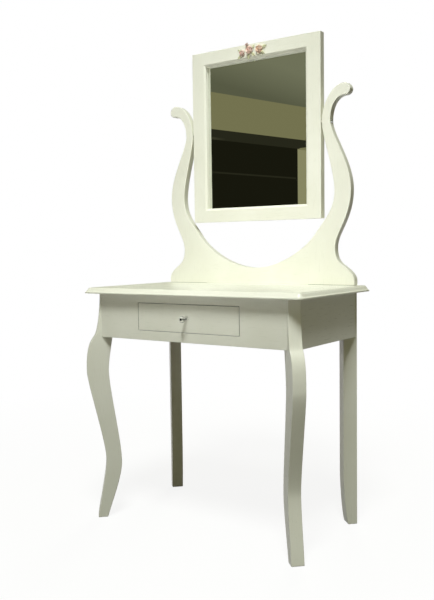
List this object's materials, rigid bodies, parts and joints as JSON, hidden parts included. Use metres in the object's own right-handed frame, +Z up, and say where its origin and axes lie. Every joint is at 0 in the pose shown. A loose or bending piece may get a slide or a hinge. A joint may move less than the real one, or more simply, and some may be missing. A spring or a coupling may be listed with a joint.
{
  "type": "vanity table with swing mirror",
  "caption": "Painted wooden vanity table with a drawer, curved board legs set diagonally, and a lyre-shaped stand that carries a tilting framed mirror with a rose ornament.",
  "frame": {"origin": "on the floor, below the middle of the whole object's box", "axes": "+X to the right of someone facing the mirror, +Y to the back, +Z up"},
  "size_m": [0.8082, 0.448, 1.5467],
  "materials": {
    "painted_wood": "antique-white satin paint",
    "bare_wood": "unfinished pine",
    "hardboard": "smooth hardboard",
    "zinc_steel": "zinc plated",
    "dark_screw": "dark bronze",
    "clear_acrylic": "clear polished",
    "mirror_glass": "silvered glass",
    "brass": "plain",
    "nylon": "natural white",
    "rose_resin": "painted resin, dusty pink",
    "leaf_resin": "painted resin, olive and gold"
  },
  "bodies": {
    "table": {"table_top": "painted_wood", "front_apron": "painted_wood", "back_apron": "painted_wood", "side_apron_left": "painted_wood", "side_apron_right": "painted_wood", "leg_front_left": "painted_wood", "leg_front_right": "painted_wood", "leg_rear_left": "painted_wood", "leg_rear_right": "painted_wood", "corner_block_front_left": "bare_wood", "corner_block_front_right": "bare_wood", "corner_block_rear_left": "bare_wood", "corner_block_rear_right": "bare_wood", "leg_bolts": "zinc_steel", "leg_bolt_washers": "zinc_steel", "leg_bolt_nuts": "zinc_steel", "corner_block_screws": "zinc_steel", "top_cleat_left": "bare_wood", "top_cleat_right": "bare_wood", "top_cleat_screws": "zinc_steel", "drawer_runner_left": "bare_wood", "drawer_runner_right": "bare_wood", "drawer_kicker_left": "bare_wood", "drawer_kicker_right": "bare_wood", "guide_dowels": "bare_wood", "drawer_stops": "bare_wood", "stand_base": "painted_wood", "stand_upright_left": "painted_wood", "stand_upright_right": "painted_wood", "stand_dowels": "bare_wood", "stand_plates": "zinc_steel", "stand_plate_screws": "zinc_steel"},
    "drawer": {"drawer_front": "painted_wood", "drawer_side_left": "bare_wood", "drawer_side_right": "bare_wood", "drawer_back": "bare_wood", "drawer_bottom": "hardboard", "drawer_knob": "clear_acrylic", "knob_screw": "dark_screw", "knob_nut": "zinc_steel"},
    "mirror": {"mirror_stile_left": "painted_wood", "mirror_stile_right": "painted_wood", "mirror_rail_upper": "painted_wood", "mirror_rail_lower": "painted_wood", "mirror_frame_dowels": "bare_wood", "mirror_glass": "mirror_glass", "mirror_back_board": "hardboard", "back_board_clips": "zinc_steel", "clip_screws": "zinc_steel", "pivot_bolt_left": "zinc_steel", "pivot_bolt_right": "zinc_steel", "pivot_insert_left": "brass", "pivot_insert_right": "brass", "pivot_washer_left": "nylon", "pivot_washer_right": "nylon", "rose_flowers": "rose_resin", "rose_leaves": "leaf_resin"}
  },
  "joints": [
    {"name": "drawer_slide", "type": "slide", "parent": "table", "child": "drawer", "axis": [0, -1, 0], "range_m": [0, 0.25]},
    {"name": "mirror_tilt", "type": "hinge", "parent": "table", "child": "mirror", "pos_m": [0, 0.20903, 1.262], "axis": [1, 0, 0], "continuous": true}
  ]
}
